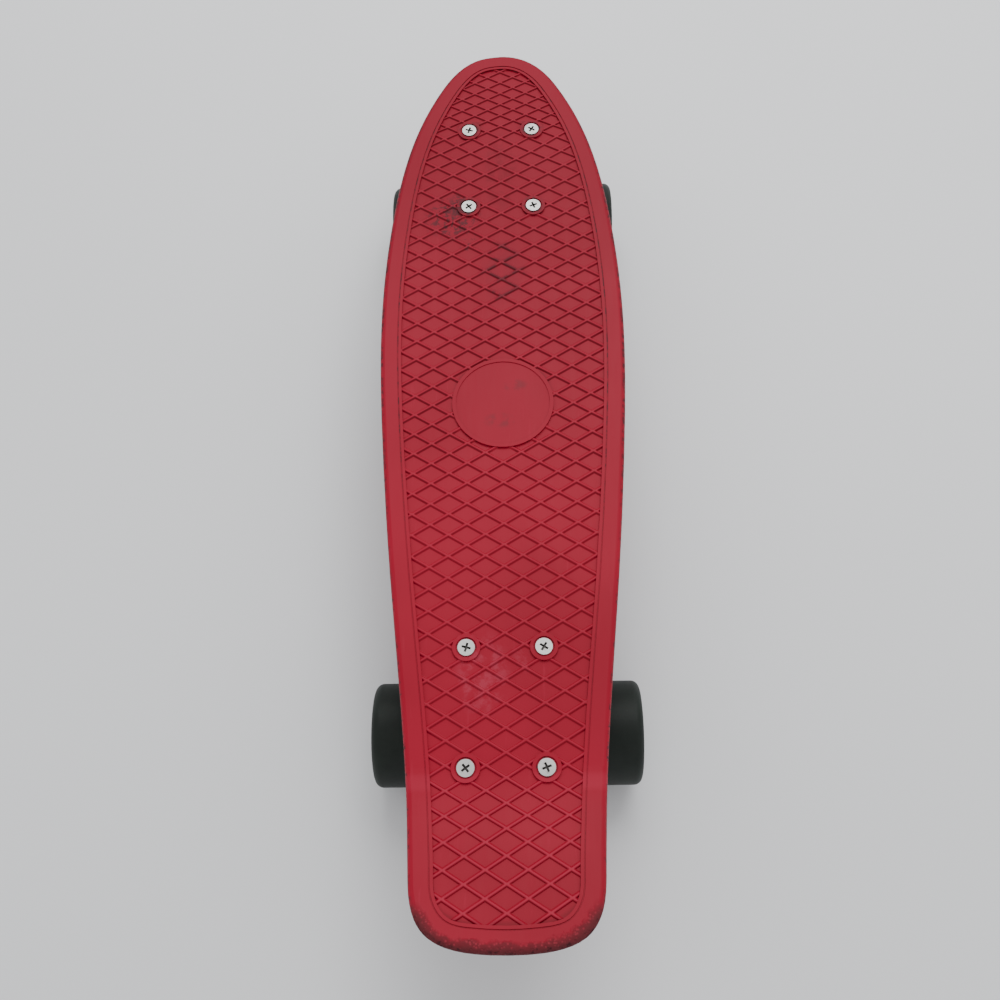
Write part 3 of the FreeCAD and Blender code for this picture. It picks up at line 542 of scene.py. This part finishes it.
def deckWearAndHighlight(look, colour, depth, speckles, blots, forward, scuffs):
    # smudges on the medallion, a painted highlight along the crease of the kick, chipped edges and a
    # dirty groove
    fromMedallion = (look.x ** 2.0 + (look.y - medallionY) ** 2.0) ** 0.5
    radius = deckShape["medallionRadius"]
    outside = fromMedallion.between(radius - 0.00075, radius + 0.00025)
    smudge = patch(look, wearAndHighlights["smudgeBehind"]).most(patch(look, wearAndHighlights["smudgeAhead"]))
    smudge = smudge * blots.between(0.40, 0.62)
    colour = (smudge * 0.45).colourMix(colour, redPlastic["ground"])
    colour = (scuffs * 0.55).colourMix(colour, redPlastic["dirt"])
    # a painted highlight across the crease of the kick
    creaseHighlight = 1.0 - ((look.y - wearAndHighlights["creaseHighlightY"]) / wearAndHighlights["creaseHighlightHalf"]) ** 2.0
    colour = (creaseHighlight.between(0.0, 1.0) * 0.45).colourMix(colour, redPlastic["rubbedAndHighlight"])
    noseEdge = look.y.between(*wearAndHighlights["noseEdge"]) * speckles.between(0.50, 0.62)
    low = depth.between(0.0002, 0.0018)
    chips = depth.between(0.0003, 0.0011) * speckles.between(0.52, 0.62)
    groove = depth.between(0.0001, 0.0004) * speckles.between(0.42, 0.62) * forward
    colour = (groove * outside * 0.75).colourMix(colour, redPlastic["dirt"])
    colour = (chips * outside * 0.85).colourMix(colour, redPlastic["dirt"])
    return (noseEdge * low * 0.6).colourMix(colour, redPlastic["abraded"])


def deckFinish(name, onRibs):
    look = Finish(name, IOR=1.46, Specular_IOR_Level=0.20)
    point = look.point
    clouds = point.noise(9.0, 3.0)
    grain = point.noise(420.0, 3.0, 0.6)
    streaks = point.noise(60.0, 3.0, 0.6, stretch=(6.0, 0.6, 1.0))
    colour = clouds.between(0.35, 0.68).colourMix(redPlastic["body"], redPlastic["deepAndShade"])
    colour = (streaks.between(0.60, 0.80) * 0.35).colourMix(colour, redPlastic["rubbedAndHighlight"])

    # the front half is darker towards the nose
    colour = (look.y.between(*wearAndHighlights["darkerTowardsNose"]) * 0.55).colourMix(colour, redPlastic["darkerRed"])

    ragged = point.noise(75.0, 4.0, 0.7)
    pits = point.speckle(620.0).between(0.10, 0.55)
    colour, ground, scored = groundTail(look, colour, ragged, pits)

    # the side walls are darker with dirt
    depth = depthBelowTop(look)
    grubby = point.noise(260.0, 4.0, 0.7)
    side = (depth + grubby * 0.0016 - 0.0008).between(0.0017, 0.0030)
    colour = (side * grubby.between(0.30, 0.62) * 0.62).colourMix(colour, redPlastic["edge"])

    # scuffs beside one front screw, dirt along the middle of the front half, chalky bloom at the back
    speckles = point.noise(300.0, 4.0, 0.7)
    blots = point.noise(130.0, 4.0, 0.65)
    forward = look.y.between(*wearAndHighlights["forward"])
    scuffs = patch(look, wearAndHighlights["scuffByScrew"]) * speckles.between(0.40, 0.50)
    scuffs = scuffs.most(patch(look, wearAndHighlights["scuffAround"]) * speckles.between(0.50, 0.58))
    scuffs = scuffs.most(patch(look, wearAndHighlights["scuffBehind"]) * speckles.between(0.55, 0.64))
    grime = patch(look, wearAndHighlights["ribGrime"]) * blots.between(0.36, 0.56)
    soiled = patch(look, wearAndHighlights["soiled"]) * blots.between(0.40, 0.62)
    chalk = patch(look, wearAndHighlights["chalkLeft"]) * blots.between(0.44, 0.62)
    chalk = chalk.most(patch(look, wearAndHighlights["chalkRight"]) * blots.between(0.48, 0.64) * 0.6)
    colour = (chalk * 0.45).colourMix(colour, redPlastic["chalky"])
    colour = (soiled * 0.45).colourMix(colour, redPlastic["shadeAndSoil"])
    colour = (screwCollar(look, speckles) * 0.70).colourMix(colour, redPlastic["dirt"])
    if onRibs:
        colour = ribWearAndPaintedLight(look, colour, clouds, forward, grime, scuffs)
    else:
        colour = deckWearAndHighlight(look, colour, depth, speckles, blots, forward, scuffs)
    look.feed("Base Color", colour)
    gloss = redPlastic["roughness"] + (clouds - 0.5) * 0.10 + (streaks - 0.5) * 0.08
    look.feed("Roughness", (gloss + ground * 0.32).least(0.95))
    look.bump([
        (point.noise(1500.0, 2.0, 0.5), 0.00004, 0.35),
        (grain, 0.00012, 0.18),
        (scored * (ragged + pits * 0.5), 0.0009, 0.55),
    ])
    return look.material


def metalFinish(name, colour, roughness, grainScale, brushed=False, recessTop=None):
    # recessTop is the height of the screw heads, below which their recesses are painted near-black
    look = Finish(name, Metallic=1.0)
    point = look.point
    stretch = (0.15, 1.0, 1.0) if brushed else None
    grain = point.noise(grainScale, 4.0, 0.6, stretch=stretch)
    clouds = point.noise(45.0, 3.0)
    darker = tuple(channel * 0.72 for channel in colour)
    tone = clouds.between(0.30, 0.72).colourMix(colour, darker)
    tone = (point.noise(210.0, 4.0, 0.7).between(0.60, 0.72) * 0.5).colourMix(tone, (0.16, 0.13, 0.11))
    if recessTop:
        hollow = look.z.between(recessTop - 0.00008, recessTop - 0.0005)
        tone = (hollow * 0.93).colourMix(tone, (0.030, 0.028, 0.026))
    look.feed("Base Color", tone)
    look.feed("Roughness", (roughness + (grain - 0.5) * 0.25 + (clouds - 0.5) * 0.12).least(0.9))
    look.bump([(grain, 0.00012, 0.35)])
    return look.material


def softFinish(name, colour, dusty, roughness, dust=0.3, grainDepth=0.4):
    # rubbers, urethanes and moulded plastics: mottled body, dust in patches, fine skin
    look = Finish(name, IOR=1.48, Specular_IOR_Level=0.25)
    point = look.point
    clouds = point.noise(38.0, 4.0, 0.6)
    fine = point.noise(900.0, 3.0, 0.6)
    tone = (clouds.between(0.38, 0.72) * dust).colourMix(colour, dusty)
    tone = (point.speckle(480.0).between(0.22, 0.08) * dust * 0.6).colourMix(tone, dusty)
    look.feed("Base Color", tone)
    look.feed("Roughness", (roughness + (clouds - 0.5) * 0.18 + (fine - 0.5) * 0.10).least(0.95))
    look.bump([(fine, 0.00010, grainDepth), (clouds, 0.0003, 0.12)])
    return look.material


finishes = {
    "deck_plastic": deckFinish("red_moulded_plastic", False),
    "screw_steel": metalFinish("zinc_screw_steel", (0.56, 0.555, 0.535), 0.46, 700.0, recessTop=deckTop),
    "truck_metal": metalFinish("tumbled_cast_aluminium", (0.62, 0.62, 0.61), 0.42, 320.0),
    "hardware_steel": metalFinish("zinc_hardware_steel", (0.60, 0.59, 0.57), 0.32, 500.0, brushed=True),
    "bearing_steel": metalFinish("ground_bearing_steel", (0.72, 0.72, 0.73), 0.18, 900.0, brushed=True),
    "pivot_plastic": softFinish("pivot_cup_plastic", (0.62, 0.60, 0.52), (0.40, 0.36, 0.30), 0.45),
    "bushing_urethane": softFinish("black_bushing_urethane", (0.020, 0.020, 0.021),
                                   (0.09, 0.085, 0.08), 0.38),
    "wheel_urethane": softFinish("dark_green_wheel_urethane", (0.0078, 0.0115, 0.0090),
                                 (0.022, 0.030, 0.024), 0.55, 0.45, 0.5),
    "core_plastic": softFinish("black_core_plastic", (0.016, 0.016, 0.017), (0.06, 0.06, 0.06), 0.42),
    "bearing_rubber": softFinish("black_shield_rubber", (0.014, 0.014, 0.015), (0.05, 0.05, 0.05), 0.55),
    "cage_plastic": softFinish("ivory_cage_nylon", (0.55, 0.50, 0.36), (0.40, 0.36, 0.27), 0.40),
}
slots = {entry["node"]: entry["material_slot"] for entry in frame["record"]["subparts"]}


def paint(piece, material):
    piece.data.materials.clear()
    piece.data.materials.append(material)


for name, node in nodes.items():
    paint(node, finishes[slots[name]])
paint(waffleMat, deckFinish("red_waffle_plastic", True))
print("finishes:", len(finishes) + 1)


floorShape = dict(size=8.0, colour=(0.86, 0.865, 0.88), roughness=0.70)


def makeFloor():
    half = floorShape["size"] / 2
    points = np.array([(-half, -half, 0), (half, -half, 0), (half, half, 0), (-half, half, 0)])
    floor = newPiece("studio_floor", points, [(0, 1, 2, 3)])
    look = Finish("pale_floor", Roughness=floorShape["roughness"])
    soft = look.point.noise(1.4, 2.0)
    fine = look.point.noise(260.0, 3.0, 0.6)
    darker = tuple(channel * 0.96 for channel in floorShape["colour"])
    look.feed("Base Color", soft.between(0.3, 0.7).colourMix(floorShape["colour"], darker))
    look.bump([(fine, 0.0002, 0.08)])
    paint(floor, look.material)


studio = dict(
    world=0.84,
    lights=[
        # name, place, width, depth, watts, aimed at
        ("overhead_softbox", (0.20, 0.85, 1.4), 1.3, 0.8, 17.0, (0.05, 0.60, 0.0)),
    ],
)


def makeLights():
    world = bpy.data.worlds.new("soft_room")
    world.use_nodes = True
    background = world.node_tree.nodes["Background"]
    background.inputs["Color"].default_value = (0.98, 0.99, 1.0, 1.0)
    background.inputs["Strength"].default_value = studio["world"]
    bpy.context.scene.world = world
    for name, place, width, depth, watts, target in studio["lights"]:
        data = bpy.data.lights.new(name, "AREA")
        data.shape = "RECTANGLE"
        data.size = width
        data.size_y = depth
        data.energy = watts
        lamp = bpy.data.objects.new(name, data)
        aim = (Vector(target) - Vector(place)).to_track_quat("-Z", "Y")
        lamp.matrix_world = Matrix.Translation(place) @ aim.to_matrix().to_4x4()
        bpy.context.scene.collection.objects.link(lamp)


viewpoint = dict(
    place=(0.01137, -0.31360, 0.66009),
    tilt=24.852,             # degrees off straight down
    roll=1.699,
    turn=-1.113,
    lens=40.117,
    sensor=36.0,
)


def makeCamera():
    data = bpy.data.cameras.new("view")
    data.lens = viewpoint["lens"]
    data.sensor_width = viewpoint["sensor"]
    camera = bpy.data.objects.new("view", data)
    turns = [Matrix.Rotation(math.radians(viewpoint[name]), 4, axis)
             for name, axis in (("turn", "Z"), ("tilt", "X"), ("roll", "Y"))]
    camera.matrix_world = Matrix.Translation(viewpoint["place"]) @ turns[0] @ turns[1] @ turns[2]
    bpy.context.scene.collection.objects.link(camera)
    bpy.context.scene.camera = camera


makeFloor()
makeLights()
makeCamera()
